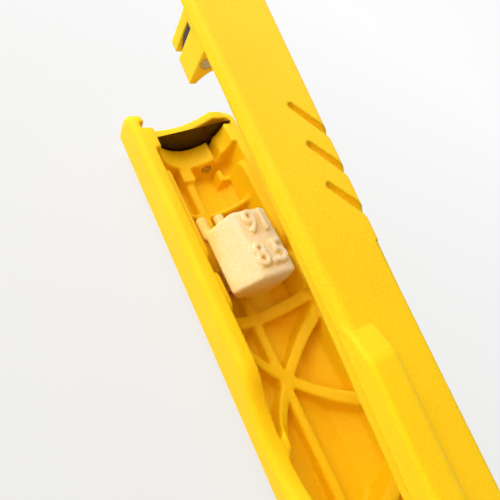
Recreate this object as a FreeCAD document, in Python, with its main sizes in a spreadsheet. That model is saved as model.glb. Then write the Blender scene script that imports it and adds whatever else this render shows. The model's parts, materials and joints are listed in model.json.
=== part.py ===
"""Hand stripper for solar cable: a ribbed trough arm, a sprung lever arm, two blades and a length stop.

Millimetres. The hinge pin lies along Y above the origin, the mouth points to -X and +Z is up.
The origin is on the flat sole of the trough arm, straight below the hinge pin.
"""
import FreeCAD, Part
import math
import os

import Sketcher

V = FreeCAD.Vector

SIZES = {
    # Trough arm
    "front_reach": 112.0,
    "tail": 8.0,
    "arm_height": 9.2,
    "rim_half": 8.15,
    "side_foot": 4.2,
    "sole_half": 5.2,
    "trough_half": 6.15,
    "trough_side_foot": 4.13,
    "trough_foot_half": 4.3,
    "floor_thick": 1.5,
    "rim_round": 0.9,
    "side_round": 2.0,
    "nose_round": 2.8,
    "nose_inner_round": 0.8,
    "tail_wall": 2.0,
    "tail_wall_top": 5.0,
    # Mouth, counted back from the nose: front lip, blade slot and cable saddle
    "lip_set": 1.2,
    "lip_thick": 1.4,
    "blade_slot": 1.0,
    "saddle_thick": 3.4,
    "lip_radius": 10.2,
    "lip_low": 5.94,
    "lip_low_y": 3.5,
    "saddle_radius": 5.4,
    "saddle_low": 4.05,
    "saddle_split": 3.9,
    "saddle_split_width": 0.6,
    "saddle_split_foot": 4.6,
    "slot_half": 6.9,
    "slot_foot": 4.3,
    # Ribs in the trough, stations counted back from the nose
    "cable_room_radius": 5.8,
    "cable_room_axis": 9.2,
    "rib_top": 6.8,
    "spine_y": -0.6,
    "spine_half": 0.65,
    "spine_top": 3.5,
    "spine_round": 0.45,
    "spine_block": 2.3,
    "spine_block_half": 0.95,
    "spine_block_top": 3.95,
    "thin_rib_at": 15.0,
    "thin_rib": 0.8,
    "bow_rib_at": 31.0,
    "bow_rib": 1.6,
    "cross_at": 39.2,
    "cross_pitch": 20.0,
    "cross_reach": 9.5,
    "cross_rib": 1.3,
    "ribs_end": 17.0,
    "pad_at": 9.6,
    "pad_length": 14.2,
    "pad_gap": 1.0,
    "pad_rear": 5.6,
    "pad_thick": 0.8,
    "pad_top": 8.6,
    "pad_round": 1.5,
    "hook_at": 8.0,
    "hook_length": 2.0,
    "hook_y": 4.1,
    "hook_thick": 0.8,
    "hook_top": 4.2,
    # Scoop in both rails
    "scoop_at": 45.0,
    "scoop_radius": 14.0,
    "scoop_depth": 2.2,
    "scoop_round": 6.0,
    # Lever arm, drawn parallel to the trough arm
    "back_height": 12.0,
    "plate_thick": 2.2,
    "plate_front_half": 5.42,
    "plate_half": 4.35,
    "plate_shift": -0.2,
    "plate_taper_end": 74.0,
    "plate_waist": 1.1,
    "plate_side_lean": 24.0,
    "plate_under_lean": 38.0,
    "plate_round": 0.7,
    "plate_tail": 3.2,
    "open_angle": 7.66,
    "keel_outer": 3.4,
    "keel_inner": 2.6,
    "keel_drop": 1.3,
    "keel_from": 104.0,
    "head_half": 5.0,
    "head_depth": 6.2,
    "lever_saddle_radius": 4.5,
    "lever_saddle_depth": 3.1,
    "grip_at": 96.9,
    "grip_pitch": 4.58,
    "grip_tip": 0.45,
    "grip_radius": 0.62,
    "grip_length": 7.0,
    "grip_slant": 43.0,
    "grip_inner": 1.0,
    "grip_tip_depth": 0.12,
    "grip_dip": 1.5,
    "lug_at": 74.9,
    "lug_length": 17.8,
    "lug_inner": 0.75,
    "lug_set": 0.12,
    "lug_height": 0.95,
    "lug_ramp": 2.6,
    "lug_ramp_round": 2.0,
    "lug_inner_round": 1.1,
    "lug_round": 0.4,
    "inset_at": 81.5,
    "inset_length": 74.0,
    "inset_depth": 0.5,
    "inset_width": 0.75,
    # Hinge
    "hinge_height": 6.0,
    "pin_radius": 1.25,
    "pin_play": 0.05,
    "pin_head_radius": 2.0,
    "pin_head": 0.8,
    "pin_seat_depth": 0.9,
    "seat_play": 0.3,
    "retainer": 0.6,
    "pin_tip": 0.2,
    "barrel_radius": 3.2,
    "cheek_outer": 4.1,
    "cheek_inner": 2.6,
    "washer_radius": 2.1,
    "washer": 1.4,
    "washer_play": 0.3,
    # Opening spring
    "spring_wire": 0.35,
    "spring_radius": 2.0,
    "spring_half": 2.0,
    "spring_turns": 4.0,
    "spring_leg": 14.0,
    "spring_play": 0.15,
    # Blades
    "blade_play": 0.1,
    "blade_foot_half": 4.1,
    "blade_shoulder_half": 5.8,
    "blade_ear_half": 6.6,
    "blade_ear_foot": 4.5,
    "blade_edge": 8.05,
    "blade_slope": 0.245,
    "blade_grind": 1.5,
    "lever_blade_half": 4.9,
    "lever_blade_depth": 4.15,
    "dowel_radius": 0.7,
    "dowel_play": 0.03,
    "dowel_y": 3.2,
    "dowel_height": 3.1,
    "lever_dowel_y": 4.0,
    "lever_dowel_depth": 3.3,
    # Length stop
    "strip_length": 16.0,
    "stop_length": 9.2,
    "stop_top": 11.25,
    "stop_ridge": 1.8,
    "stop_top_right": 2.85,
    "stop_right": 3.2,
    "stop_right_side": 8.8,
    "stop_left": 5.1,
    "stop_left_side": 8.8,
    "stop_base_left": 3.6,
    "stop_base_left_height": 6.4,
    "stop_base_right": 2.1,
    "stop_base_right_height": 4.6,
    "stop_round": 0.45,
    "stop_set_back": 1.0,
    "stop_foot": 3.2,
    "stop_foot_set": 2.4,
    "stop_foot_half": 1.6,
    "stop_foot_play": 0.4,
    "stop_horn": 1.5,
    "stop_horn_half": 0.7,
    "stop_horn_gap": 1.1,
    "clip_thick": 0.25,
    "clip_play": 0.08,
}

doc = FreeCAD.newDocument("solar_cable_stripper")
sheet = doc.addObject("Spreadsheet::Sheet", "Sizes")
for row, (alias, value) in enumerate(SIZES.items(), start=1):
    sheet.set(f"A{row}", alias)
    sheet.set(f"B{row}", str(value))
    sheet.setAlias(f"B{row}", alias)
doc.recompute()


def bound(words):
    """Turn plain size names into an expression that reads the sheet."""
    text = ""
    word = ""
    for letter in words + " ":
        if letter.isalpha() or letter == "_":
            word += letter
            continue
        text += f"Sizes.{word}" if word in SIZES else word
        word = ""
        text += letter
    return text.strip()


def size(words):
    """Value of an expression of size names, for starting points only."""
    return float(sheet.evalExpression(bound(words)))


def bind(thing, **sizes):
    """Bind properties of an object to expressions of size names."""
    for name, words in sizes.items():
        thing.setExpression(name, bound(words))
    return thing


def place(thing, x="0", y="0", z="0"):
    """Bind the position of an object."""
    for axis, words in zip("xyz", (x, y, z)):
        thing.setExpression(f"Placement.Base.{axis}", bound(words))
    return thing


def turn(thing, axis, words):
    """Bind the turn of an object about an axis through its own base point."""
    thing.Placement.Rotation = FreeCAD.Rotation(axis, 1)
    thing.setExpression("Placement.Rotation.Angle", bound(words))
    return thing


def box(name, x, y, z):
    """A block between two expressions along each axis."""
    block = doc.addObject("Part::Box", name)
    bind(block, Length=f"({x[1]}) - ({x[0]})", Width=f"({y[1]}) - ({y[0]})", Height=f"({z[1]}) - ({z[0]})")
    return place(block, x[0], y[0], z[0])


def rod(name, axis, radius, length, x="0", y="0", z="0"):
    """A cylinder along X or Y that starts at a bound point."""
    cylinder = doc.addObject("Part::Cylinder", name)
    bind(cylinder, Radius=radius, Height=length)
    turns = {"x": FreeCAD.Rotation(V(0, 1, 0), 90), "y": FreeCAD.Rotation(V(1, 0, 0), -90)}
    cylinder.Placement.Rotation = turns[axis]
    return place(cylinder, x, y, z)


def sketch(body, role, points, offset="0"):
    """A closed outline on an origin plane, every corner bound to the sheet."""
    plane = next(f for f in body.Origin.OriginFeatures if f.Role == role)
    outline = body.newObject("Sketcher::SketchObject", body.Name + "_outline")
    outline.AttachmentSupport = (plane, [""])
    outline.MapMode = "FlatFace"
    outline.setExpression("AttachmentOffset.Base.z", bound(offset))
    starts = [V(size(u), size(v), 0) for u, v in points]
    for first, second in zip(starts, starts[1:] + starts[:1]):
        outline.addGeometry(Part.LineSegment(first, second))
    for index in range(len(points)):
        outline.addConstraint(Sketcher.Constraint("Coincident", index, 2, (index + 1) % len(points), 1))
    for index, (words, start) in enumerate(zip(points, starts)):
        for kind, text, value in (("DistanceX", words[0], start.x), ("DistanceY", words[1], start.y)):
            number = outline.addConstraint(Sketcher.Constraint(kind, -1, 1, index, 1, value))
            outline.setExpression(f"Constraints[{number}]", bound(text))
    return outline


def pad(name, role, points, length, offset="0"):
    """A body with one padded outline. The XZ plane pads towards -Y, the others towards + of their normal."""
    body = doc.addObject("PartDesign::Body", name)
    outline = sketch(body, role, points, offset)
    feature = body.newObject("PartDesign::Pad", name + "_pad")
    feature.Profile = outline
    bind(feature, Length=length)
    doc.recompute()
    return body


def disc_pad(name, y, z, radius, length, offset):
    """A body with one padded circle on the YZ plane."""
    body = doc.addObject("PartDesign::Body", name)
    plane = next(f for f in body.Origin.OriginFeatures if f.Role == "YZ_Plane")
    outline = body.newObject("Sketcher::SketchObject", name + "_outline")
    outline.AttachmentSupport = (plane, [""])
    outline.MapMode = "FlatFace"
    outline.setExpression("AttachmentOffset.Base.z", bound(offset))
    outline.addGeometry(Part.Circle(V(size(y), size(z), 0), V(0, 0, 1), size(radius)))
    for kind, words, ends in (("DistanceX", y, (-1, 1, 0, 3)), ("DistanceY", z, (-1, 1, 0, 3)), ("Radius", radius, (0,))):
        number = outline.addConstraint(Sketcher.Constraint(kind, *ends, size(words)))
        outline.setExpression(f"Constraints[{number}]", bound(words))
    feature = body.newObject("PartDesign::Pad", name + "_pad")
    feature.Profile = outline
    bind(feature, Length=length)
    doc.recompute()
    return body


def pocket_disc(body, x, z, radius):
    """Cut a round hollow across the whole width of a body, drawn on the XZ plane."""
    plane = next(f for f in body.Origin.OriginFeatures if f.Role == "XZ_Plane")
    outline = body.newObject("Sketcher::SketchObject", body.Name + "_hollow")
    outline.AttachmentSupport = (plane, [""])
    outline.MapMode = "FlatFace"
    outline.addGeometry(Part.Circle(V(size(x), size(z), 0), V(0, 0, 1), size(radius)))
    for kind, words, ends in (("DistanceX", x, (-1, 1, 0, 3)), ("DistanceY", z, (-1, 1, 0, 3)), ("Radius", radius, (0,))):
        number = outline.addConstraint(Sketcher.Constraint(kind, *ends, size(words)))
        outline.setExpression(f"Constraints[{number}]", bound(words))
    hollow = body.newObject("PartDesign::Pocket", body.Name + "_pocket")
    hollow.Profile = outline
    hollow.Type = "ThroughAll"
    hollow.Midplane = True
    doc.recompute()
    return body


def round_edges(body, words, wanted):
    """Fillet the edges of a body that a test picks."""
    base = body.Tip
    names = [f"Edge{n}" for n, edge in enumerate(base.Shape.Edges, start=1) if wanted(edge)]
    fillet = body.newObject("PartDesign::Fillet", body.Name + "_fillet")
    fillet.Base = (base, names)
    bind(fillet, Radius=words)
    doc.recompute()
    return body


def fuse(name, pieces):
    """Join pieces into one."""
    joined = doc.addObject("Part::MultiFuse", name)
    joined.Shapes = pieces
    joined.Refine = True
    return joined


def cut(name, base, tools):
    """Cut tools out of a base."""
    remains = doc.addObject("Part::Cut", name)
    remains.Base = base
    remains.Tool = tools[0] if len(tools) == 1 else fuse(name + "_tools", tools)
    remains.Refine = True
    return remains


def common(name, first, second):
    """Keep what two pieces share."""
    shared = doc.addObject("Part::Common", name)
    shared.Base = first
    shared.Tool = second
    return shared


def along_x(edge):
    """True for a straight edge parallel to X."""
    ends = edge.Vertexes
    return len(ends) == 2 and abs(abs((ends[1].Point - ends[0].Point).normalize().x) - 1) < 1e-6


def along_y(edge):
    """True for a straight edge parallel to Y."""
    ends = edge.Vertexes
    return len(ends) == 2 and abs(abs((ends[1].Point - ends[0].Point).normalize().y) - 1) < 1e-6


def at_height(edge, words):
    """True for an edge whose middle lies at a height."""
    return abs(edge.CenterOfMass.z - size(words)) < 1e-4


def swing_open(thing):
    """Turn a closed lever piece about the hinge to the open rest position."""
    turn(thing, V(0, 1, 0), "open_angle")
    return place(thing, "-hinge_height * sin(open_angle * 1deg)", "0", "hinge_height * (1 - cos(open_angle * 1deg))")


# Stations along X, all counted back from the nose
NOSE = "-front_reach"
LIP = f"{NOSE} + lip_set"
SLOT = f"{LIP} + lip_thick"
SADDLE = f"{SLOT} + blade_slot"
SADDLE_END = f"{SADDLE} + saddle_thick"
STOP_FRONT = f"{SADDLE} - blade_play + strip_length"
STOP_REAR = f"{STOP_FRONT} + stop_length"
RIBS_END = "-ribs_end"
SIDES = (("left", -1), ("right", 1))


def trough_profile():
    """Corners of the space inside the trough, from the floor to the rim."""
    return [("-trough_foot_half", "floor_thick"), ("trough_foot_half", "floor_thick"),
            ("trough_half", "trough_side_foot"), ("trough_half", "arm_height"),
            ("-trough_half", "arm_height"), ("-trough_half", "trough_side_foot")]


def trough_fill(name, start, end):
    """A wall across the trough between two stations."""
    return pad(name, "YZ_Plane", trough_profile(), f"({end}) - ({start})", start)


def build_trough_shell():
    """The trough arm's shell: upright rails over a narrower sole, inside an envelope with a rounded nose."""
    inner = trough_profile()
    outline = [("-sole_half", "0"), ("sole_half", "0"), ("rim_half", "side_foot"), ("rim_half", "arm_height"),
               inner[3], inner[2], inner[1], inner[0], inner[5], inner[4],
               ("-rim_half", "arm_height"), ("-rim_half", "side_foot")]
    shell = pad("trough_section", "YZ_Plane", outline, "front_reach + tail", NOSE)
    outer = size("rim_half")
    sole = size("sole_half")
    foot = size("side_foot")
    nose = -size("front_reach")

    def is_sole(edge):
        middle = edge.CenterOfMass
        on_foot = abs(middle.z - foot) < 1e-4 and abs(abs(middle.y) - outer) < 1e-4
        on_sole = abs(middle.z) < 1e-4 and abs(abs(middle.y) - sole) < 1e-4
        return along_x(edge) and (on_foot or on_sole)

    def is_inner_nose(edge):
        middle = edge.CenterOfMass
        upright = abs(abs(middle.y) - size("trough_half")) < 1e-4 and middle.z > foot
        return abs(middle.x - nose) < 1e-4 and upright

    def is_front_rim(edge):
        return at_height(edge, "arm_height") and abs(edge.CenterOfMass.x - nose) < 1e-4

    def is_scoop_end(edge):
        inside = nose + 1 < edge.CenterOfMass.x < size("tail") - 1
        return along_y(edge) and at_height(edge, "arm_height") and inside

    def is_outline(edge):
        middle = edge.CenterOfMass
        on_side = edge.BoundBox.YLength < 1e-4 and abs(abs(middle.y) - outer) < 1e-4
        return on_side and middle.z > 1e-3 and middle.x < size("tail") - 1e-3

    round_edges(shell, "side_round", is_sole)
    round_edges(shell, "nose_inner_round", is_inner_nose)
    plan = [(NOSE, "-rim_half"), ("tail", "-rim_half"), ("tail", "rim_half"), (NOSE, "rim_half")]
    envelope = pad("trough_envelope", "XY_Plane", plan, "arm_height")
    pocket_disc(envelope, f"{NOSE} + scoop_at", "arm_height - scoop_depth + scoop_radius", "scoop_radius")
    round_edges(envelope, "scoop_round", is_scoop_end)
    round_edges(envelope, "nose_round", is_front_rim)
    round_edges(envelope, "rim_round", is_outline)
    return common("trough_shell", shell, envelope)


def build_ribs():
    """The ribs under the cable's path: thin, bowed and crossed ones, hollowed by the cable's room."""
    ribs = [trough_fill("thin_rib_wall", f"{NOSE} + thin_rib_at - thin_rib / 2", f"{NOSE} + thin_rib_at + thin_rib / 2"),
            trough_fill("bow_rib_wall", f"{NOSE} + bow_rib_at - bow_rib / 2", f"{NOSE} + bow_rib_at + bow_rib / 2")]
    bars = []
    for number in range(3):
        for name, side in SIDES:
            bar = doc.addObject("Part::Box", f"cross_{number}_{name}")
            bind(bar, Length="cross_rib", Width="2 * cross_reach", Height="arm_height - floor_thick")
            turn(bar, V(0, 0, 1), f"{45 * side}")
            lean = f"{math.sqrt(0.5)}"
            place(bar, f"{NOSE} + cross_at + {number} * cross_pitch + {lean} * ({side} * cross_reach - cross_rib / 2)",
                  f"-{lean} * ({side} * cross_rib / 2 + cross_reach)", "floor_thick")
            bars.append(bar)
    room = trough_fill("cross_room", f"{NOSE} + bow_rib_at", RIBS_END)
    crosses = common("crosses", room, fuse("cross_bars", bars))
    cable = rod("cable_room", "x", "cable_room_radius", "front_reach", NOSE, "0", "cable_room_axis")
    above = box("rib_trim", (NOSE, RIBS_END), ("-rim_half", "rim_half"), ("rib_top", "2 * arm_height"))
    return cut("ribs", fuse("rib_walls", ribs + [crosses]), [cable, above])


def build_spine():
    """The rib along the middle that the length stop rides on, with its block behind the saddle."""
    start = f"{SADDLE_END} + spine_block"
    left = "spine_y - spine_half"
    right = "spine_y + spine_half"
    outline = [(left, "floor_thick / 2"), (right, "floor_thick / 2"), (right, "spine_top"), (left, "spine_top")]
    spine = pad("spine", "YZ_Plane", outline, f"({RIBS_END}) - ({start})", start)
    round_edges(spine, "spine_round", lambda e: along_x(e) and at_height(e, "spine_top"))
    block = box("spine_end", (SADDLE_END, start), ("spine_y - spine_block_half", "spine_y + spine_block_half"),
                ("floor_thick / 2", "spine_block_top"))
    return [spine, block]


def build_pads():
    """Two thin pads on the inside of each rail with a gap between them, and a hooked rib."""
    pads = []
    front = f"{NOSE} + pad_at"
    rear = f"{front} + pad_length + pad_gap"
    for name, side in SIDES:
        offset = "trough_half - pad_thick" if side < 0 else "-trough_half - pad_thick"
        for place_name, start, length in (("front", front, "pad_length"), ("rear", rear, "pad_rear")):
            outline = [(start, "trough_side_foot"), (f"{start} + {length}", "trough_side_foot"),
                       (f"{start} + {length}", "pad_top"), (start, "pad_top")]
            panel = pad(f"pad_{name}_{place_name}", "XZ_Plane", outline, "2 * pad_thick", offset)
            round_edges(panel, "pad_round", lambda e: along_y(e) and at_height(e, "pad_top"))
            pads.append(panel)
    hook_x = f"{NOSE} + hook_at"
    pads.append(box("hook_leg", (hook_x, f"{hook_x} + hook_length"), ("hook_y", "hook_y + hook_thick"),
                    ("floor_thick / 2", "hook_top")))
    pads.append(box("hook_arm", (f"{hook_x} + hook_length - hook_thick", f"{hook_x} + hook_length"),
                    ("hook_y", "trough_half"), ("floor_thick / 2", "hook_top")))
    return pads


def build_lower_arm():
    """The trough arm: shell, mouth, ribs, spine, pads and hinge seats."""
    lip = cut("lip", trough_fill("lip_wall", LIP, SLOT),
              [rod("lip_hollow", "x", "lip_radius", "2 * lip_thick", f"{LIP} - lip_thick / 2", "-lip_low_y",
                   "lip_low + lip_radius")])
    saddle = cut("saddle", trough_fill("saddle_wall", SADDLE, SADDLE_END),
                 [rod("saddle_hollow", "x", "saddle_radius", "2 * saddle_thick", f"{SADDLE} - saddle_thick / 2", "0",
                      "saddle_low + saddle_radius"),
                  box("saddle_split_box", (f"{SADDLE} - saddle_thick", f"{SADDLE_END} + saddle_thick"),
                      ("saddle_split", "saddle_split + saddle_split_width"), ("saddle_split_foot", "2 * arm_height"))])
    tail_block = box("tail_block", ("tail - tail_wall", "tail"), ("-trough_foot_half", "trough_foot_half"),
                     ("floor_thick / 2", "tail_wall_top"))
    solid = fuse("trough_solid", [build_trough_shell(), lip, saddle, build_ribs(), tail_block]
                 + build_spine() + build_pads())
    slot = box("blade_slot_box", (SLOT, SADDLE), ("-slot_half", "slot_half"), ("slot_foot", "2 * arm_height"))
    bore = rod("pin_bore", "y", "pin_radius + pin_play", "4 * rim_half", "0", "-2 * rim_half", "hinge_height")
    seats = [rod("pin_seat_left", "y", "pin_head_radius + seat_play", "rim_half", "0",
                 "-2 * rim_half + pin_seat_depth", "hinge_height"),
             rod("pin_seat_right", "y", "pin_head_radius + seat_play", "rim_half", "0", "rim_half - pin_seat_depth",
                 "hinge_height")]
    dowel = rod("dowel_bore", "x", "dowel_radius + dowel_play", f"({SADDLE_END}) - ({LIP})", LIP, "dowel_y",
                "dowel_height")
    arm = cut("lower_arm", solid, [slot, bore, dowel] + seats)
    arm.Label = "lower_arm"
    return arm


def build_plate():
    """The lever arm's back: a plate widest at its waist that narrows towards the hinge, with rounded shoulders."""
    stations = ((NOSE, "plate_front_half"), ("-plate_taper_end", "plate_half"), ("plate_tail", "plate_half"))
    plan = [(x, f"plate_shift - {half}") for x, half in stations]
    plan += [(x, f"plate_shift + {half}") for x, half in reversed(stations)]
    waist = "back_height - plate_waist"
    back = pad("plate_back", "XY_Plane", plan, "plate_waist", waist)
    bind(back.Tip, TaperAngle="-plate_side_lean * 1deg")
    doc.recompute()
    round_edges(back, "plate_round", lambda e: at_height(e, "back_height"))
    under = pad("plate_under", "XY_Plane", plan, "plate_thick - plate_waist", waist)
    under.Tip.Reversed = True
    bind(under.Tip, TaperAngle="-plate_under_lean * 1deg")
    doc.recompute()
    return [back, under]


def build_keels():
    """Two shallow stiffening ribs under the plate."""
    keels = []
    for name, side in SIDES:
        y = ("keel_inner", "keel_outer") if side > 0 else ("-keel_outer", "-keel_inner")
        keels.append(box(f"keel_{name}", ("-keel_from", "0"), y,
                         ("back_height - plate_thick - keel_drop", "back_height - plate_waist")))
    return keels


def build_cheeks():
    """Two cheeks with round ends that carry the lever arm on the pin."""
    cheeks = []
    for name, side in SIDES:
        y = ("cheek_inner", "cheek_outer") if side > 0 else ("-cheek_outer", "-cheek_inner")
        cheeks.append(box(f"cheek_{name}", ("-barrel_radius", "barrel_radius"), y,
                          ("hinge_height", "back_height - plate_waist")))
        cheeks.append(rod(f"barrel_{name}", "y", "barrel_radius", "cheek_outer - cheek_inner", "0", y[0], "hinge_height"))
    return cheeks


def build_lug():
    """The low thumb lug on the left of the back, with a ramp at each end and a soft inner side."""
    low = "back_height - plate_waist"
    high = "back_height + lug_height"
    run = "lug_ramp * (1 + plate_waist / lug_height)"
    front = "-lug_at + lug_ramp"
    rear = "-lug_at + lug_length - lug_ramp"
    outline = [(f"{front} - {run}", low), (front, high), (rear, high), (f"{rear} + {run}", low)]
    left = "plate_half - plate_shift - lug_set"
    lug = pad("lug", "XZ_Plane", outline, f"{left} - lug_inner", "lug_inner")
    base = size(low)

    def on_side(edge, words):
        return edge.BoundBox.YLength < 1e-4 and abs(edge.CenterOfMass.y + size(words)) < 1e-4

    round_edges(lug, "lug_ramp_round", lambda e: along_y(e) and at_height(e, high))
    round_edges(lug, "lug_inner_round", lambda e: on_side(e, "lug_inner") and e.CenterOfMass.z > base + 1e-3)
    return round_edges(lug, "lug_round", lambda e: on_side(e, left) and e.CenterOfMass.z > base + 1e-3)


def build_grips():
    """Slanted grip gills that open out and deepen towards the right edge of the back."""
    gills = []
    for number in range(3):
        gill = doc.addObject("Part::Cone", f"gill_{number}")
        bind(gill, Radius1="grip_tip", Radius2="grip_radius", Height="grip_length")
        slant = math.radians(size("grip_slant"))
        dip = math.radians(size("grip_dip"))
        along = V(math.cos(slant) * math.cos(dip), math.sin(slant) * math.cos(dip), -math.sin(dip))
        gill.Placement.Rotation = FreeCAD.Rotation(V(0, 0, 1), along)
        place(gill, f"-grip_at + {number} * grip_pitch", "grip_inner", "back_height - grip_tip_depth")
        tip = doc.addObject("Part::Sphere", f"gill_tip_{number}")
        bind(tip, Radius="grip_tip")
        place(tip, f"-grip_at + {number} * grip_pitch", "grip_inner", "back_height - grip_tip_depth")
        gills += [gill, tip]
    return gills


def build_inset():
    """A long bare step in the right shoulder of the back."""
    return box("inset", ("-inset_at", "-inset_at + inset_length"), ("plate_shift + plate_half - inset_width", "2 * plate_half"),
               ("back_height - inset_depth", "back_height + inset_depth"))


def build_upper_arm():
    """The lever arm: plate, keels, head with its saddle, cheeks, lug and grip gills."""
    head = box("lever_head", (LIP, SADDLE_END), ("-head_half", "head_half"),
               ("back_height - head_depth", "back_height - plate_waist"))
    hollow = rod("lever_saddle", "x", "lever_saddle_radius", f"({SADDLE_END}) - ({NOSE})", NOSE, "0",
                 "back_height - lever_saddle_depth - lever_saddle_radius")
    shaped_head = cut("shaped_head", head, [hollow])
    solid = fuse("lever_solid", build_plate() + [shaped_head, build_lug()] + build_keels() + build_cheeks())
    slot = box("lever_slot", (SLOT, SADDLE), ("-2 * head_half", "2 * head_half"), ("0", "back_height - plate_thick"))
    bore = rod("lever_bore", "y", "pin_radius + pin_play", "4 * cheek_outer", "0", "-2 * cheek_outer", "hinge_height")
    dowel = rod("lever_dowel_bore", "x", "dowel_radius + dowel_play", f"({SADDLE_END}) - ({LIP})", LIP,
                "-lever_dowel_y", "back_height - lever_dowel_depth")
    arm = cut("upper_arm", solid, [bore, dowel, slot, build_inset()] + build_grips())
    arm.Label = "upper_arm"
    return swing_open(arm)


def grind(name, edge, side):
    """A wedge that grinds the front of a blade down to a slanting edge, above it or below it."""
    outline = [(f"{SLOT} - blade_slot", f"-{side} * blade_grind * (1 + blade_slot / (blade_slot - blade_play))"),
               (f"{SADDLE} - blade_play", "0"), (f"{SADDLE} - blade_play", f"{side} * blade_grind"),
               (f"{SLOT} - blade_slot", f"{side} * blade_grind")]
    wedge = pad(name, "XZ_Plane", outline, "4 * trough_half", "-2 * trough_half")
    turn(wedge, V(1, 0, 0), "atan(blade_slope)")
    return place(wedge, "0", "0", edge)


def build_lower_blade():
    """The trough arm's blade: a plate in the slot with one slanting edge and two ears in the rails."""
    outline = [("-blade_foot_half", "floor_thick"), ("blade_foot_half", "floor_thick"),
               ("blade_shoulder_half", "blade_ear_foot"), ("blade_ear_half", "blade_ear_foot"),
               ("blade_ear_half", "blade_edge + blade_slope * trough_half"),
               ("trough_half", "blade_edge + blade_slope * trough_half"),
               ("-blade_ear_half", "blade_edge - blade_slope * blade_ear_half"), ("-blade_ear_half", "blade_ear_foot"),
               ("-blade_shoulder_half", "blade_ear_foot")]
    blank = pad("blade_blank", "YZ_Plane", outline, "blade_slot - 2 * blade_play", f"{SLOT} + blade_play")
    hole = rod("blade_hole", "x", "dowel_radius + dowel_play", "2 * blade_slot", f"{SLOT} - blade_slot / 2", "dowel_y",
               "dowel_height")
    blade = cut("lower_blade", blank, [hole, grind("lower_grind", "blade_edge", 1)])
    blade.Label = "lower_blade"
    return blade


def build_upper_blade():
    """The lever arm's blade, with its edge parallel to the lower one and a core's width above it when closed."""
    top = "back_height - plate_thick - blade_play"
    edge = "back_height - lever_blade_depth"
    outline = [("-lever_blade_half", top), ("-lever_blade_half", f"{edge} - blade_slope * lever_blade_half"),
               ("lever_blade_half", f"{edge} + blade_slope * lever_blade_half"), ("lever_blade_half", top)]
    blank = pad("lever_blank", "YZ_Plane", outline, "blade_slot - 2 * blade_play", f"{SLOT} + blade_play")
    hole = rod("lever_blade_hole", "x", "dowel_radius + dowel_play", "2 * blade_slot", f"{SLOT} - blade_slot / 2",
               "-lever_dowel_y", "back_height - lever_dowel_depth")
    blade = cut("upper_blade", blank, [hole, grind("upper_grind", edge, -1)])
    blade.Label = "upper_blade"
    return swing_open(blade)


def build_dowels():
    """The dowels through lip, blade and saddle, one in each arm."""
    span = f"({SADDLE_END}) - ({LIP})"
    lower = rod("lower_blade_pin", "x", "dowel_radius", span, LIP, "dowel_y", "dowel_height")
    lower.Label = "lower_blade_pin"
    upper = disc_pad("upper_blade_pin", "-lever_dowel_y", "back_height - lever_dowel_depth", "dowel_radius", span, LIP)
    upper.Label = "upper_blade_pin"
    return [lower, swing_open(upper)]


def build_stop():
    """The length stop: a rounded block over the trough, two small horns in front and a foot astride the spine."""
    outline = [("stop_right", "stop_right_side"), ("stop_top_right", "stop_top"), ("-stop_ridge", "stop_top"),
               ("-stop_left", "stop_left_side"), ("-stop_base_left", "stop_base_left_height"),
               ("stop_base_right", "stop_base_right_height")]
    block = pad("stop_block", "YZ_Plane", outline, "stop_length", STOP_FRONT)
    round_edges(block, "stop_round", lambda e: True)
    corner = [(f"{STOP_FRONT} - stop_horn", "-stop_ridge"), (STOP_FRONT, "-stop_ridge"),
              (f"{STOP_FRONT} + stop_set_back", "-stop_left"), (f"{STOP_FRONT} + stop_set_back", "-2 * stop_left"),
              (f"{STOP_FRONT} - stop_horn", "-2 * stop_left")]
    set_back = cut("stop_set_back_block", block, [pad("stop_corner", "XY_Plane", corner, "2 * stop_top")])
    horns = []
    for number in range(2):
        middle = f"-stop_left + stop_horn_half + {number} * (2 * stop_horn_half + stop_horn_gap)"
        horn = rod(f"stop_horn_{number}", "x", "stop_horn_half", "2 * stop_horn", f"{STOP_FRONT} - stop_horn", middle,
                   "stop_left_side - stop_horn_half")
        horns.append(horn)
    span = (f"{STOP_REAR} - stop_foot_set - stop_foot", f"{STOP_REAR} - stop_foot_set")
    foot = box("stop_foot_box", span, ("spine_y - stop_foot_half", "spine_y + stop_foot_half"),
               ("floor_thick + stop_foot_play", "stop_base_left_height + stop_round"))
    half = "spine_half + clip_play + clip_thick"
    groove = box("stop_groove", span, (f"spine_y - ({half})", f"spine_y + {half}"),
                 ("0", "spine_top + clip_play + clip_thick"))
    stop = cut("length_stop", fuse("stop_solid", [set_back, foot] + horns), [groove])
    stop.Label = "length_stop"
    return stop


def build_clip():
    """The sheet spring clip in the stop's foot that grips the spine."""
    span = (f"{STOP_REAR} - stop_foot_set - stop_foot", f"{STOP_REAR} - stop_foot_set")
    inner = "spine_half + clip_play"
    outer = f"{inner} + clip_thick"
    shell = box("clip_shell", span, (f"spine_y - ({outer})", f"spine_y + {outer}"),
                ("floor_thick + stop_foot_play", "spine_top + clip_play + clip_thick"))
    room = box("clip_room", span, (f"spine_y - ({inner})", f"spine_y + {inner}"), ("0", "spine_top + clip_play"))
    clip = cut("stop_clip", shell, [room])
    clip.Label = "stop_clip"
    return clip


def build_pin():
    """The hinge pin with its head on the left."""
    seat = "(rim_half - pin_seat_depth)"
    shank = rod("pin_shank", "y", "pin_radius", f"2 * {seat} + retainer + pin_tip", "0", f"-{seat}", "hinge_height")
    head = rod("pin_head_disc", "y", "pin_head_radius", "pin_head", "0", f"-{seat} - pin_head", "hinge_height")
    pin = fuse("hinge_pin", [shank, head])
    pin.Label = "hinge_pin"
    return pin


def ring(name, outer, inner, thick, y):
    """A flat ring round the hinge pin."""
    disc = rod(f"{name}_disc", "y", outer, thick, "0", y, "hinge_height")
    hole = rod(f"{name}_hole", "y", inner, f"3 * ({thick})", "0", f"{y} - ({thick})", "hinge_height")
    return cut(name, disc, [hole])


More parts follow.
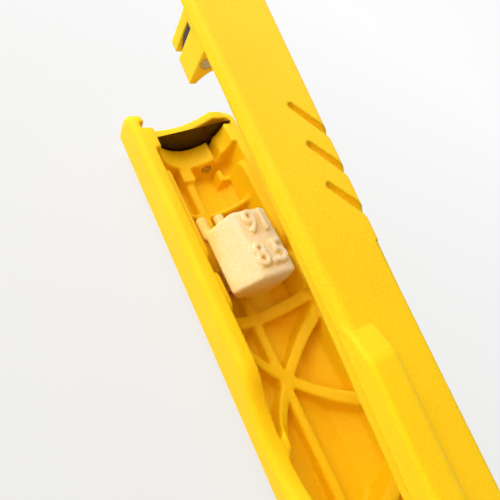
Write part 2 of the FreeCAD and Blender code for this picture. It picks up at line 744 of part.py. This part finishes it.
def build_rings():
    """The push-on retainer and the two washers beside the cheeks."""
    retainer = ring("pin_retainer", "pin_head_radius", "pin_radius", "retainer",
                    "rim_half - pin_seat_depth")
    retainer.Label = "pin_retainer"
    bore = "pin_radius + pin_play"
    near = ring("washer_left", "washer_radius", bore, "washer", "-cheek_outer - washer_play - washer")
    far = ring("washer_right", "washer_radius", bore, "washer", "cheek_outer + washer_play")
    washers = doc.addObject("Part::Compound", "hinge_washers")
    washers.Links = [near, far]
    washers.Label = "hinge_washers"
    return [retainer, washers]


def wire_leg(name, y, end_x, end_z):
    """A straight round wire in an XZ plane, from the side of the coil to an end point."""
    rise = f"({end_z}) - hinge_height"
    run = f"({end_x}) + spring_radius"
    leg = doc.addObject("Part::Cylinder", name)
    bind(leg, Radius="spring_wire", Height=f"sqrt(({rise})^2 + ({run})^2)")
    turn(leg, V(0, 1, 0), f"atan2({run}; {rise})")
    return place(leg, "-spring_radius", y, "hinge_height")


def build_spring():
    """The torsion spring that opens the arms: a coil round the pin and two legs."""
    helix = doc.addObject("Part::Helix", "coil_path")
    bind(helix, Radius="spring_radius", Height="2 * spring_half", Pitch="2 * spring_half / spring_turns")
    helix.Placement.Rotation = FreeCAD.Rotation(V(0, 1, 0), 180) * FreeCAD.Rotation(V(1, 0, 0), -90)
    place(helix, "0", "-spring_half", "hinge_height")
    section = doc.addObject("Part::RegularPolygon", "wire_section")
    section.Polygon = 8
    bind(section, Circumradius="spring_wire")
    place(section, "-spring_radius", "-spring_half", "hinge_height")
    doc.recompute()
    coil = doc.addObject("Part::Sweep", "coil")
    coil.Sections = [section]
    coil.Spine = (helix, ["Edge1"])
    coil.Solid = True
    coil.Frenet = True
    doc.recompute()
    gap = "spring_wire + spring_play"
    under = f"back_height - plate_thick - hinge_height - {gap}"
    low = wire_leg("low_leg", "-spring_half", "-spring_leg", f"floor_thick + {gap}")
    high = wire_leg("high_leg", "spring_half",
                    f"-spring_leg * cos(open_angle * 1deg) + ({under}) * sin(open_angle * 1deg)",
                    f"hinge_height + spring_leg * sin(open_angle * 1deg) + ({under}) * cos(open_angle * 1deg)")
    spring = fuse("opening_spring", [coil, low, high])
    spring.Label = "opening_spring"
    return spring


nodes = [build_lower_arm(), build_upper_arm(), build_lower_blade(), build_upper_blade(), build_stop(), build_clip(),
         build_pin(), build_spring()] + build_dowels() + build_rings()
doc.recompute()

for thing in doc.Objects:
    if "Invalid" in thing.State or "Error" in thing.State:
        raise RuntimeError(f"{thing.Name} failed: {thing.State}")
os.makedirs("parts", exist_ok=True)
for node in nodes:
    shape = node.Shape
    if shape.isNull() or not shape.isValid():
        raise RuntimeError(f"{node.Label} has no valid shape")
    shape.exportStep(f"parts/{node.Label}.step")
    print(node.Label, len(shape.Solids), round(shape.Volume, 1), shape.BoundBox)
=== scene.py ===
"""Dresses the solar cable stripper: moulded finishes, raised numbers on the stop, studio and camera.

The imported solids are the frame. Everything here is in metres, in the frame of those solids:
the mouth points to -X, the hinge pin lies along Y and +Z is up from the sole.
"""
from __future__ import annotations

import json
import logging
import math
from dataclasses import dataclass, field
from enum import Enum
from typing import Any

import bmesh
import bpy
from mathutils import Matrix, Vector

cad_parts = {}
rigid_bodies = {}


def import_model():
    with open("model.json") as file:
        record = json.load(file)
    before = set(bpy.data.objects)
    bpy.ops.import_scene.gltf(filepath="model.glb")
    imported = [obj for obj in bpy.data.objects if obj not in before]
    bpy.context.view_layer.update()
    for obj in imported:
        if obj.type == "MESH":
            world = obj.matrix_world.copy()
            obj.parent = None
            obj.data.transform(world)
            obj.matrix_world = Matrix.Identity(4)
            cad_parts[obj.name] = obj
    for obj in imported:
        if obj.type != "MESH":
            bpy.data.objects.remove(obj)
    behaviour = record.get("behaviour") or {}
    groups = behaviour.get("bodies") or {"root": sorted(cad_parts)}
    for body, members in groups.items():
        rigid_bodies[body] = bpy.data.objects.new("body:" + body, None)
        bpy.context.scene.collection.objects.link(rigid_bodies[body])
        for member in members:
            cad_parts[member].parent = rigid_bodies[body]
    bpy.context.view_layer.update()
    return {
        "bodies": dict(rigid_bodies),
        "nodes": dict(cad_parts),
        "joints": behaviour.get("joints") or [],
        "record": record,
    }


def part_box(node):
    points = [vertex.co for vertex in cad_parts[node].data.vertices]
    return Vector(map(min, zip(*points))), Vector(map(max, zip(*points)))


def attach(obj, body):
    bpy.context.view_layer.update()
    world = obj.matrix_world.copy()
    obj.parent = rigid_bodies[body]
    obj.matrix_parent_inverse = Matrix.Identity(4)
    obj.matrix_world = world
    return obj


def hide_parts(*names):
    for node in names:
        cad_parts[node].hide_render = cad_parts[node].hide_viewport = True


LOG = logging.getLogger("solar_cable_stripper")
MM = 0.001
IMAGE_WIDTH_PX = 500.0
SENSOR_MM = 36.0

# The curve between screen colours and linear ones
SCREEN_WHITE = 255.0
CURVE_KNEE = 0.04045
CURVE_SLOPE = 12.92
CURVE_OFFSET = 0.055
CURVE_POWER = 2.4

# Spans and samples of the shader patterns
FULL_SPAN = (0.0, 1.0)
NOISE_SPAN = (0.3, 0.7)
PIT_SPAN = (0.62, 0.38)
EDGE_BEND_SPAN = (0.995, 0.8)
RUB_GRAIN_SPAN = (0.3, 0.6)
RUB_SHARE_SPAN = (0.4, 1.0)
HOLLOW_SHADE_SPAN = (0.5, 0.44)
EDGE_SAMPLES = 6

# How the soft skins are made
WELD_DISTANCE = 0.001 * MM
SMOOTHING_SHARE = 0.5

Colour = tuple[float, float, float]
Span = tuple[float, float]
Frame = dict[str, Any]
Socket = bpy.types.NodeSocket


class Reading(Enum):
    """Which way a number on the stop reads, as a turn about the face's normal in degrees."""

    TOWARDS_MOUTH = 90.0
    TOWARDS_HINGE = -90.0


def linear(red: int, green: int, blue: int) -> Colour:
    """Turn a screen colour of 0 to 255 into the linear values a shader takes.

    Args:
        red: Screen red.
        green: Screen green.
        blue: Screen blue.

    Returns:
        Linear red, green and blue from 0 to 1.
    """
    def channel(value: int) -> float:
        """Undo the screen's curve for one channel."""
        share = value / SCREEN_WHITE
        if share <= CURVE_KNEE:
            return share / CURVE_SLOPE
        return ((share + CURVE_OFFSET) / (1.0 + CURVE_OFFSET)) ** CURVE_POWER

    return channel(red), channel(green), channel(blue)


class NodeGraph:
    """A small wrapper that adds shader nodes to a material or a world and joins their sockets."""

    def __init__(self, owner: bpy.types.Material | bpy.types.World) -> None:
        """Start with an empty tree.

        Args:
            owner: The material or world that the nodes belong to.
        """
        self.owner = owner
        owner.use_nodes = True
        self.tree = owner.node_tree
        self.tree.nodes.clear()

    def add(self, kind: str, inputs: dict[str | int, Any] | None = None, **settings: Any) -> bpy.types.Node:
        """Add a node, with constant values or links on its inputs.

        Args:
            kind: The node's type name.
            inputs: Socket names or numbers with a value, or with an output socket to link from.
            settings: Properties of the node itself.

        Returns:
            The new node.
        """
        node = self.tree.nodes.new(kind)
        for key, value in settings.items():
            setattr(node, key, value)
        for key, value in (inputs or {}).items():
            socket = node.inputs[key]
            if isinstance(value, Socket):
                self.tree.links.new(value, socket)
            else:
                socket.default_value = value
        return node

    def place(self) -> Socket:
        """Return the socket of the place on the object, in Object coordinates."""
        return self.add("ShaderNodeTexCoord").outputs["Object"]

    def noise(self, place: Socket, size: float, detail: float) -> Socket:
        """Add a noise pattern of a real size.

        Args:
            place: Where the pattern is read.
            size: Size of one blotch in metres.
            detail: Finer layers on top.

        Returns:
            The noise's value socket.
        """
        inputs = {"Vector": place, "Scale": 1.0 / size, "Detail": detail}
        return self.add("ShaderNodeTexNoise", inputs).outputs["Fac"]

    def softened(self, radius: float) -> Socket:
        """Add a normal that rolls over every edge, as a mould's worn edges leave it.

        Args:
            radius: Radius of the rolled edge in metres.

        Returns:
            The normal socket.
        """
        return self.add("ShaderNodeBevel", {"Radius": radius}, samples=EDGE_SAMPLES).outputs["Normal"]

    def ramp(self, value: Socket, source: Span, result: Span) -> Socket:
        """Map a span of one value onto another span, held at both ends.

        Args:
            value: The value to map.
            source: Where the input span starts and ends.
            result: Results at the start and at the end.

        Returns:
            The mapped value socket.
        """
        inputs = {"Value": value, "From Min": source[0], "From Max": source[1],
                  "To Min": result[0], "To Max": result[1]}
        return self.add("ShaderNodeMapRange", inputs).outputs["Result"]

    def total(self, first: Socket, second: Socket) -> Socket:
        """Add two values and hold the result at 1.

        Args:
            first: One value.
            second: The other value.

        Returns:
            The sum's socket.
        """
        return self.add("ShaderNodeMath", {0: first, 1: second}, operation="ADD", use_clamp=True).outputs[0]

    def mix(self, share: Socket, first: Colour | Socket, second: Colour) -> Socket:
        """Mix two colours by a value.

        Args:
            share: Share of the second colour.
            first: Colour at 0, plain or from a socket.
            second: Colour at 1.

        Returns:
            The mixed colour socket.
        """
        node = self.add("ShaderNodeMix", data_type="RGBA")
        self.tree.links.new(share, node.inputs["Factor"])
        colours = [socket for socket in node.inputs if socket.type == "RGBA"]
        if isinstance(first, Socket):
            self.tree.links.new(first, colours[0])
        else:
            colours[0].default_value = (*first, 1.0)
        colours[1].default_value = (*second, 1.0)
        return next(socket for socket in node.outputs if socket.type == "RGBA")

    def rubbed(self, soft: Socket, grain: Socket, strength: float) -> Socket:
        """Find the edges that hands rub, broken up by the grain.

        Args:
            soft: The softened normal.
            grain: The grain's value.
            strength: The most that an edge is rubbed.

        Returns:
            0 on plain faces, up to the strength along edges.
        """
        plain = self.add("ShaderNodeNewGeometry").outputs["Normal"]
        bend = self.add("ShaderNodeVectorMath", {0: soft, 1: plain}, operation="DOT_PRODUCT")
        edge = self.ramp(bend.outputs["Value"], EDGE_BEND_SPAN, (0.0, strength))
        broken = self.ramp(grain, RUB_GRAIN_SPAN, RUB_SHARE_SPAN)
        return self.add("ShaderNodeMath", {0: edge, 1: broken}, operation="MULTIPLY").outputs[0]

    def find_hollow_shade(self, strength: float) -> Socket:
        """Find the hollow corners of a finely divided mesh, where shade is painted.

        Args:
            strength: Result in a hollow.

        Returns:
            0 on plain faces, up to the strength in hollow corners.
        """
        pointiness = self.add("ShaderNodeNewGeometry").outputs["Pointiness"]
        return self.ramp(pointiness, HOLLOW_SHADE_SPAN, (0.0, strength))

    def seen(self) -> Socket:
        """Find the rays that look: from the camera, off a glossy face or through a clear piece.

        Returns:
            1 for a ray that looks, 0 for a ray that only gathers light.
        """
        path = self.add("ShaderNodeLightPath").outputs
        direct = self.total(path["Is Camera Ray"], path["Is Glossy Ray"])
        return self.total(direct, path["Is Transmission Ray"])

    def finish(self, shader: bpy.types.Node,
               output: str = "ShaderNodeOutputMaterial") -> bpy.types.Material | bpy.types.World:
        """Join the last shader to the output.

        Args:
            shader: The last shader.
            output: Type name of the output node.

        Returns:
            The material or world that the nodes belong to.
        """
        self.add(output, {"Surface": shader.outputs[0]})
        return self.owner


@dataclass(frozen=True, kw_only=True)
class MouldedPlastic:
    """A moulded plastic with spark-eroded grain, a faint flow of tone and, where set, painted shade in
    hollow corners and low down.

    Attributes:
        name: The material's name.
        light: Colour where the tone is lightest.
        deep_and_shade: Colour where the tone is deepest, also used as the painted shade.
        worn: Colour of rubbed edges.
        rub: The most that an edge is rubbed.
        edge: Radius of the softened edges.
        roughness: Middle roughness.
        roughness_spread: How far the grain moves the roughness up and down.
        grain: Size of one grain.
        grain_detail: Finer layers on the grain.
        grain_depth: Depth of the grain.
        flow: Size of one blotch in the flow of tone.
        flow_detail: Finer layers on the flow.
        speckle: Share of the tone that follows the grain.
        painted_hollow_shade: How much deeper the tone is in hollow corners, as painted shade.
        painted_low_shade: How much deeper the tone is low down, as painted shade.
        painted_low_shade_heights: Height where that starts, and the lower height where it is full.
        shine: Strength of the reflection.
        ior: Index of refraction.
        subsurface: Share of the light that passes through the plastic.
        subsurface_depth: How far that light goes.
        subsurface_reach: Share of that depth for red, green and blue.
    """

    name: str
    light: Colour
    deep_and_shade: Colour
    worn: Colour
    rub: float = 0.6
    edge: float = 0.32 * MM
    roughness: float
    roughness_spread: float = 0.06
    grain: float
    grain_detail: float = 3.0
    grain_depth: float
    flow: float = 9.0 * MM
    flow_detail: float = 2.0
    speckle: float = 0.1
    painted_hollow_shade: float = 0.0
    painted_low_shade: float = 0.0
    painted_low_shade_heights: Span = FULL_SPAN
    shine: float = 0.26
    ior: float = 1.46
    subsurface: float
    subsurface_depth: float
    subsurface_reach: Colour = (1.0, 0.65, 0.15)

    def tone(self, graph: NodeGraph, place: Socket, grain: Socket) -> Socket:
        """Lay out how far the tone deepens over the surface, painted shade included.

        Args:
            graph: The material's nodes.
            place: Where the patterns are read.
            grain: The grain's value.

        Returns:
            0 where the tone is lightest, 1 where it is deepest.
        """
        flow = graph.noise(place, self.flow, self.flow_detail)
        tone = graph.total(graph.ramp(flow, NOISE_SPAN, (0.0, 1.0 - self.speckle)),
                           graph.ramp(grain, PIT_SPAN, (0.0, self.speckle)))
        # Painted shade: the tone deepens in hollow corners, where shade falls.
        if self.painted_hollow_shade:
            tone = graph.total(tone, graph.find_hollow_shade(self.painted_hollow_shade))
        # Painted shade: the tone deepens lower down on the part, where shade falls.
        if self.painted_low_shade:
            height = graph.add("ShaderNodeSeparateXYZ", {0: place}).outputs["Z"]
            tone = graph.total(tone, graph.ramp(height, self.painted_low_shade_heights, (0.0, self.painted_low_shade)))
        return tone

    def build(self) -> bpy.types.Material:
        """Make the material.

        Returns:
            A material that reads Object coordinates only.
        """
        graph = NodeGraph(bpy.data.materials.new(self.name))
        place = graph.place()
        grain = graph.noise(place, self.grain, self.grain_detail)
        soft = graph.softened(self.edge)
        # The deeper colour here carries the painted shade as well as the flow of tone.
        plain = graph.mix(self.tone(graph, place, grain), self.light, self.deep_and_shade)
        colour = graph.mix(graph.rubbed(soft, grain, self.rub), plain, self.worn)
        rough = graph.ramp(grain, NOISE_SPAN, (self.roughness - self.roughness_spread,
                                               self.roughness + self.roughness_spread))
        bump = graph.add("ShaderNodeBump", {
            "Height": grain, "Strength": 1.0, "Distance": self.grain_depth, "Normal": soft})
        return graph.finish(graph.add("ShaderNodeBsdfPrincipled", {
            "Base Color": colour,
            "Roughness": rough,
            "Normal": bump.outputs["Normal"],
            "IOR": self.ior,
            "Specular IOR Level": self.shine,
            "Subsurface Weight": self.subsurface,
            "Subsurface Scale": self.subsurface_depth,
            "Subsurface Radius": self.subsurface_reach}))


@dataclass(frozen=True, kw_only=True)
class Steel:
    """A bare steel with fine lines along one axis.

    Attributes:
        name: The material's name.
        colour: Colour of the metal.
        roughness: Middle roughness.
        roughness_spread: How far the lines move the roughness down and up.
        line: Width of one line.
        line_detail: Finer layers on the lines.
        line_depth: Depth of the lines.
        line_strength: Share of that depth that shows.
        stretch: Scale of the pattern along each axis, small along the lines.
    """

    name: str
    colour: Colour
    roughness: float
    roughness_spread: Span = (-0.08, 0.1)
    line: float
    line_detail: float = 4.0
    line_depth: float = 0.01 * MM
    line_strength: float = 0.4
    stretch: Colour

    def build(self) -> bpy.types.Material:
        """Make the material.

        Returns:
            A material that reads Object coordinates only.
        """
        graph = NodeGraph(bpy.data.materials.new(self.name))
        stretched = graph.add("ShaderNodeMapping", {"Vector": graph.place(), "Scale": self.stretch})
        lines = graph.noise(stretched.outputs["Vector"], self.line, self.line_detail)
        smoother, rougher = self.roughness_spread
        rough = graph.ramp(lines, NOISE_SPAN, (self.roughness + smoother, self.roughness + rougher))
        bump = graph.add("ShaderNodeBump", {
            "Height": lines, "Strength": self.line_strength, "Distance": self.line_depth})
        return graph.finish(graph.add("ShaderNodeBsdfPrincipled", {
            "Base Color": (*self.colour, 1.0),
            "Metallic": 1.0,
            "Roughness": rough,
            "Normal": bump.outputs["Normal"]}))


YELLOW = MouldedPlastic(
    name="yellow_moulding",
    light=linear(253, 207, 4), deep_and_shade=linear(250, 201, 2), worn=linear(254, 214, 20), edge=0.4 * MM,
    roughness=0.56, grain=0.24 * MM, grain_depth=0.075 * MM,
    subsurface=0.35, subsurface_depth=1.6 * MM)
# The cream's deeper colour also serves as painted shade, laid in hollow corners and low down on the stop.
CREAM = MouldedPlastic(
    name="cream_moulding",
    light=linear(253, 245, 226), deep_and_shade=linear(248, 206, 100), worn=linear(254, 246, 224),
    roughness=0.62, grain=0.18 * MM, grain_depth=0.12 * MM,
    speckle=0.3, painted_hollow_shade=0.6, painted_low_shade=0.9, painted_low_shade_heights=(9.6 * MM, 5.5 * MM),
    subsurface=0.5, subsurface_depth=1.2 * MM)
# The blades' colour is painted far darker than bare steel, standing in for the shade and dark reflections on
# them.
BLADE = Steel(
    name="blade_steel", colour=linear(74, 62, 55), roughness=0.22, line=0.08 * MM, stretch=(1.0, 1.0, 0.05))
PIN = Steel(
    name="pin_steel", colour=linear(190, 190, 194), roughness=0.28, line=0.1 * MM, stretch=(1.0, 0.05, 1.0))
WIRE = Steel(
    name="spring_wire", colour=linear(160, 160, 164), roughness=0.32, line=0.1 * MM, stretch=(1.0, 0.2, 1.0))


def evaluated(source: bpy.types.Object) -> bpy.types.Mesh:
    """Turn an unlinked object with its modifiers into a plain mesh, and remove the object.

    Args:
        source: A text or mesh object.

    Returns:
        The mesh.
    """
    bpy.context.scene.collection.objects.link(source)
    bpy.context.view_layer.update()
    shaped = source.evaluated_get(bpy.context.evaluated_depsgraph_get())
    mesh = bpy.data.meshes.new_from_object(shaped)
    bpy.data.objects.remove(source)
    return mesh


def skinned(shapes: list[bpy.types.Mesh], voxel: float, smoothing: int) -> bpy.types.Mesh:
    """Fuse closed shapes into one skin and soften it.

    Args:
        shapes: The meshes, in their places.
        voxel: Size of one face of the skin in metres.
        smoothing: How many times each point moves towards its neighbours.

    Returns:
        The soft mesh.
    """
    raw = bmesh.new()
    for shape in shapes:
        raw.from_mesh(shape)
    bmesh.ops.remove_doubles(raw, verts=raw.verts, dist=WELD_DISTANCE)
    blank = bpy.data.meshes.new("blank")
    raw.to_mesh(blank)
    raw.free()
    form = bpy.data.objects.new("blank", blank)
    skin = form.modifiers.new("skin", "REMESH")
    skin.mode = "VOXEL"
    skin.voxel_size = voxel
    mesh = evaluated(form)
    soft = bmesh.new()
    soft.from_mesh(mesh)
    for _ in range(smoothing):
        bmesh.ops.smooth_vert(soft, verts=soft.verts, factor=SMOOTHING_SHARE,
                              use_axis_x=True, use_axis_y=True, use_axis_z=True)
    soft.to_mesh(mesh)
    soft.free()
    return mesh


def thinned(mesh: bpy.types.Mesh, kept: float) -> bpy.types.Mesh:
    """Take away points where a skin is flat.

    Args:
        mesh: The skin.
        kept: Share of its faces that stays.

    Returns:
        The lighter mesh.
    """
    form = bpy.data.objects.new("thinned", mesh)
    form.modifiers.new("thin", "DECIMATE").ratio = kept
    return evaluated(form)


def place_skin(name: str, mesh: bpy.types.Mesh, material: bpy.types.Material, node: str, body: str) -> None:
    """Show a soft skin in the place of a CAD node.

    Args:
        name: The piece's name.
        mesh: The skin, in its place.
        material: The finish.
        node: The CAD node that it stands for.
        body: The body that it rides on.
    """
    mesh.materials.clear()
    mesh.materials.append(material)
    for face in mesh.polygons:
        face.use_smooth = True
    piece = bpy.data.objects.new(name, mesh)
    bpy.context.scene.collection.objects.link(piece)
    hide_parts(node)
    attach(piece, body)
    LOG.info("placed %s with %d faces", name, len(mesh.polygons))


def dress(node: bpy.types.Object, material: bpy.types.Material) -> None:
    """Give a node of the frame one material on all its slots.

    Args:
        node: The frame's object.
        material: The finish.
    """
    node.data.materials.clear()
    node.data.materials.append(material)
    LOG.info("dressed %s in %s", node.name, material.name)


@dataclass
class Arms:
    """The two moulded arms: a soft skin over the trough, and the lever with its crisp grooves.

    Attributes:
        finish: The plastic.
        lever: The CAD node of the lever.
        trough: The CAD node of the trough.
        body: The body that the trough's skin rides on.
        voxel: Size of one face of the skin before thinning.
        smoothing: How often the skin is smoothed.
        kept: Share of its faces that stays.
    """

    finish: MouldedPlastic = YELLOW
    lever: str = "upper_arm"
    trough: str = "lower_arm"
    body: str = "trough"
    voxel: float = 0.17 * MM
    smoothing: int = 4
    kept: float = 0.25

    def build(self, frame: Frame) -> None:
        """Dress the lever and put a soft skin in the trough's place, both in the yellow moulding.
        """
        material = self.finish.build()
        dress(frame["nodes"][self.lever], material)
        skin = skinned([frame["nodes"][self.trough].data], self.voxel, self.smoothing)
        light_skin = thinned(skin, self.kept)
        place_skin("soft_trough", light_skin, material, self.trough, self.body)


@dataclass
class SteelParts:
    """Blades, dowels, the pin and retainer of the hinge, the spring and the stop's clip.

    Attributes:
        finishes: The steel of each node.
    """

    finishes: dict[str, Steel] = field(default_factory=lambda: {
        "lower_blade": BLADE, "upper_blade": BLADE, "lower_blade_pin": PIN, "upper_blade_pin": PIN,
        "hinge_pin": PIN, "pin_retainer": WIRE, "opening_spring": WIRE, "stop_clip": WIRE})

    def build(self, frame: Frame) -> None:
        """Dress every steel piece, with each steel made once.
        """
        made: dict[str, bpy.types.Material] = {}
        for name, finish in self.finishes.items():
            if finish.name not in made:
                made[finish.name] = finish.build()
            dress(frame["nodes"][name], made[finish.name])


@dataclass
class LengthStop:
    """The cream stop: its CAD block and two raised strip lengths, fused into one soft moulding.

    Attributes:
        finish: The plastic.
        node: The CAD node of the block.
        body: The body that it rides on.
        washers: The node of the hinge washers, in the same plastic.
        voxel: Size of one face of the skin.
        block_smoothing: How often the block is smoothed.
        number_smoothing: How often the block is smoothed again with its numbers.
        number_height: Size of the numbers.
        number_width: Share of their usual width.
        number_rise: How far they stand out of the top face.
        number_swell: Radius of their rounded edges.
        number_rounding: Steps in those edges.
        number_bold: How far their strokes grow.
        front_text: The number nearest the mouth.
        rear_text: The number nearest the hinge.
        front_row: The front number's middle, along X from the front end and along Y.
        rear_row: The rear number's middle, along X from the rear end and along Y.
    """

    finish: MouldedPlastic = CREAM
    node: str = "length_stop"
    body: str = "stop"
    washers: str = "hinge_washers"
    voxel: float = 0.085 * MM
    block_smoothing: int = 16
    number_smoothing: int = 4
    number_height: float = 4.15 * MM
    number_width: float = 0.86
    number_rise: float = 0.5 * MM
    number_swell: float = 0.12 * MM
    number_rounding: int = 2
    number_bold: float = 0.01 * MM
    front_text: str = "16"
    rear_text: str = "8.5"
    front_row: Vector = field(default_factory=lambda: Vector((3.2, 0.75)) * MM)
    rear_row: Vector = field(default_factory=lambda: Vector((2.7, 0.4)) * MM)

    def number(self, text: str, at: Vector, reading: Reading) -> bpy.types.Mesh:
        """Shape one swollen number, half sunk in the stop's top face.

        Args:
            text: The number.
            at: Its middle, on the top face.
            reading: Which way it reads.

        Returns:
            The number's mesh, in its place.
        """
        curve = bpy.data.curves.new(f"number_{text}", "FONT")
        curve.body = text
        curve.align_x = "CENTER"
        curve.align_y = "CENTER"
        curve.size = self.number_height
        curve.offset = self.number_bold
        curve.extrude = self.number_rise - self.number_swell
        curve.bevel_depth = self.number_swell
        curve.bevel_resolution = self.number_rounding
        mesh = evaluated(bpy.data.objects.new(f"number_{text}", curve))
        turn = Matrix.Rotation(math.radians(reading.value), 4, "Z")
        narrow = Matrix.Diagonal((self.number_width, 1.0, 1.0, 1.0))
        mesh.transform(Matrix.Translation(at) @ turn @ narrow)
        return mesh

    def fused(self, frame: Frame) -> bpy.types.Mesh:
        """Fuse a softened copy of the CAD block with both numbers.


        Returns:
            The soft mesh, in its place.
        """
        low, high = (Vector(corner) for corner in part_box(self.node))
        front = Vector((low.x + self.front_row.x, self.front_row.y, high.z))
        rear = Vector((high.x - self.rear_row.x, self.rear_row.y, high.z))
        block = skinned([frame["nodes"][self.node].data], self.voxel, self.block_smoothing)
        numbers = [self.number(self.front_text, front, Reading.TOWARDS_HINGE),
                   self.number(self.rear_text, rear, Reading.TOWARDS_MOUTH)]
        return skinned([block, *numbers], self.voxel, self.number_smoothing)

    def build(self, frame: Frame) -> None:
        """Put the soft stop in the CAD stop's place and dress it and the washers in one plastic.
        """
        material = self.finish.build()
        dress(frame["nodes"][self.washers], material)
        place_skin("soft_stop", self.fused(frame), material, self.node, self.body)


@dataclass(frozen=True)
class Softbox:
    """One square softbox.

    Attributes:
        name: The lamp's name.
        at: Its place.
        size: Its side.
        watts: Its power.
        tint: Its colour.
    """

    name: str
    at: tuple[float, float, float]
    size: float
    watts: float
    tint: Colour = (1.0, 1.0, 1.0)

    def build(self, aim: Vector) -> None:
        """Hang the lamp so that it faces a point.

        Args:
            aim: The point.
        """
        data = bpy.data.lights.new(self.name, "AREA")
        data.size = self.size
        data.energy = self.watts
        data.color = self.tint
        at = Vector(self.at)
        facing = (at - aim).to_track_quat("Z", "Y").to_matrix().to_4x4()
        lamp = bpy.data.objects.new(self.name, data)
        lamp.matrix_world = Matrix.Translation(at) @ facing
        bpy.context.scene.collection.objects.link(lamp)


SOFTBOXES = (
    Softbox("key", at=(-0.32, -0.16, 0.26), size=0.3, watts=1.17),
    Softbox("side", at=(-0.2, -0.36, 0.2), size=0.35, watts=0.5),
    Softbox("top", at=(-0.2, 0.0, 0.42), size=0.25, watts=0.32),
    Softbox("right", at=(-0.3, 0.22, 0.3), size=0.35, watts=0.45),
    Softbox("bounce", at=(0.02, -0.2, 0.29), size=0.2, watts=0.24, tint=(1.0, 0.58, 0.1)),
)


@dataclass
class Studio:
    """Pale floor and world, soft lights and the camera at the photograph's angle.

    Attributes:
        camera_at: The camera's place.
        azimuth: Its turn about Z, in degrees.
        elevation: Its height angle, in degrees.
        roll: Its turn about its own axis, in degrees.
        focal_px: Its focal length in pixels of the photograph.
        clip_start: Where its view starts.
        softboxes: The lamps, with the key from the front left.
        light_aim: The point that the lamps face.
        floor_size: Side of the floor.
        floor_colour: Colour that the floor shows.
        floor_level: How bright the floor looks at the origin.
        floor_slope: How that changes along each axis, for each metre.
        floor_limits: The darkest and the brightest that it gets.
        paper_colour: Colour of the floor's share that takes light and shadow.
        shadow_share: How large that share looks.
        world_colour: Colour of the world.
        world_light: How much light the world gives.
        world_look: How bright the world looks.
    """

    camera_at: Vector = field(default_factory=lambda: Vector((-71.6, -27.1, 47.75)) * MM)
    azimuth: float = 31.614
    elevation: float = 51.02
    roll: float = 37.421
    focal_px: float = 410.35
    clip_start: float = 1.0 * MM
    softboxes: tuple[Softbox, ...] = SOFTBOXES
    light_aim: Vector = field(default_factory=lambda: Vector((-75.0, 0.0, 12.0)) * MM)
    floor_size: float = 6.0
    floor_colour: Colour = (0.98, 0.99, 0.995)
    floor_level: float = 0.8
    floor_slope: Colour = (-0.8, 0.98, 0.0)
    floor_limits: Span = (0.76, 1.0)
    paper_colour: Colour = (0.9, 0.9, 0.89)
    shadow_share: float = 0.15
    world_colour: Colour = (1.0, 1.0, 0.985)
    world_light: float = 0.2
    world_look: float = 0.92

    def build_camera(self) -> None:
        """Set the camera by its place, its direction and its roll."""
        turn = math.radians(self.azimuth)
        rise = math.radians(self.elevation)
        roll = math.radians(self.roll)
        back = Vector((math.sin(turn) * math.cos(rise), -math.cos(turn) * math.cos(rise), math.sin(rise)))
        level = Vector((math.cos(turn), math.sin(turn), 0.0))
        upright = back.cross(level)
        right = math.cos(roll) * level + math.sin(roll) * upright
        up = back.cross(right)
        data = bpy.data.cameras.new("photo_camera")
        data.sensor_width = SENSOR_MM
        data.sensor_fit = "HORIZONTAL"
        data.lens = self.focal_px * SENSOR_MM / IMAGE_WIDTH_PX
        data.clip_start = self.clip_start
        camera = bpy.data.objects.new("photo_camera", data)
        axes = Matrix((right, up, back)).transposed().to_4x4()
        camera.matrix_world = Matrix.Translation(self.camera_at) @ axes
        bpy.context.scene.collection.objects.link(camera)
        bpy.context.scene.camera = camera

    def floor_material(self) -> bpy.types.Material:
        """Make a floor that is mostly plain to the eye, so that only a faint shadow shows on it.

        Returns:
            The floor's material.
        """
        graph = NodeGraph(bpy.data.materials.new("pale_floor"))
        share = graph.ramp(graph.seen(), FULL_SPAN, (0.0, 1.0 - self.shadow_share))
        slope = graph.add("ShaderNodeVectorMath", {0: graph.place(), 1: self.floor_slope},
                          operation="DOT_PRODUCT")
        low, high = self.floor_limits
        reach = (low - self.floor_level, high - self.floor_level)
        level = graph.ramp(slope.outputs["Value"], reach, self.floor_limits)
        plain = graph.add("ShaderNodeEmission", {"Color": (*self.floor_colour, 1.0), "Strength": level})
        paper = graph.add("ShaderNodeBsdfDiffuse", {"Color": (*self.paper_colour, 1.0)})
        return graph.finish(graph.add("ShaderNodeMixShader", {
            0: share, 1: paper.outputs[0], 2: plain.outputs[0]}))

    def build_floor(self) -> None:
        """Lay the floor under the sole."""
        sheet = bmesh.new()
        bmesh.ops.create_grid(sheet, x_segments=1, y_segments=1, size=self.floor_size / 2)
        mesh = bpy.data.meshes.new("floor")
        sheet.to_mesh(mesh)
        sheet.free()
        mesh.materials.append(self.floor_material())
        floor = bpy.data.objects.new("floor", mesh)
        bpy.context.scene.collection.objects.link(floor)

    def build_lights(self) -> None:
        """Hang the softboxes round the tool."""
        for softbox in self.softboxes:
            softbox.build(self.light_aim)

    def build_world(self) -> None:
        """Set a world that gives little light but looks as pale as the floor."""
        world = bpy.data.worlds.new("studio")
        bpy.context.scene.world = world
        graph = NodeGraph(world)
        level = graph.ramp(graph.seen(), FULL_SPAN, (self.world_light, self.world_look))
        background = graph.add("ShaderNodeBackground", {
            "Color": (*self.world_colour, 1.0), "Strength": level})
        graph.finish(background, "ShaderNodeOutputWorld")

    def build(self) -> None:
        """Make the floor, the lights, the world and the camera, and set the view."""
        self.build_floor()
        self.build_lights()
        self.build_world()
        self.build_camera()
        bpy.context.scene.view_settings.view_transform = "Standard"


def main() -> None:
    """Load the frame, dress each sub-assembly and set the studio."""
    logging.basicConfig(level=logging.INFO, format="%(message)s")
    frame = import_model()
    Arms().build(frame)
    SteelParts().build(frame)
    LengthStop().build(frame)
    Studio().build()


if __name__ == "__main__":
    main()
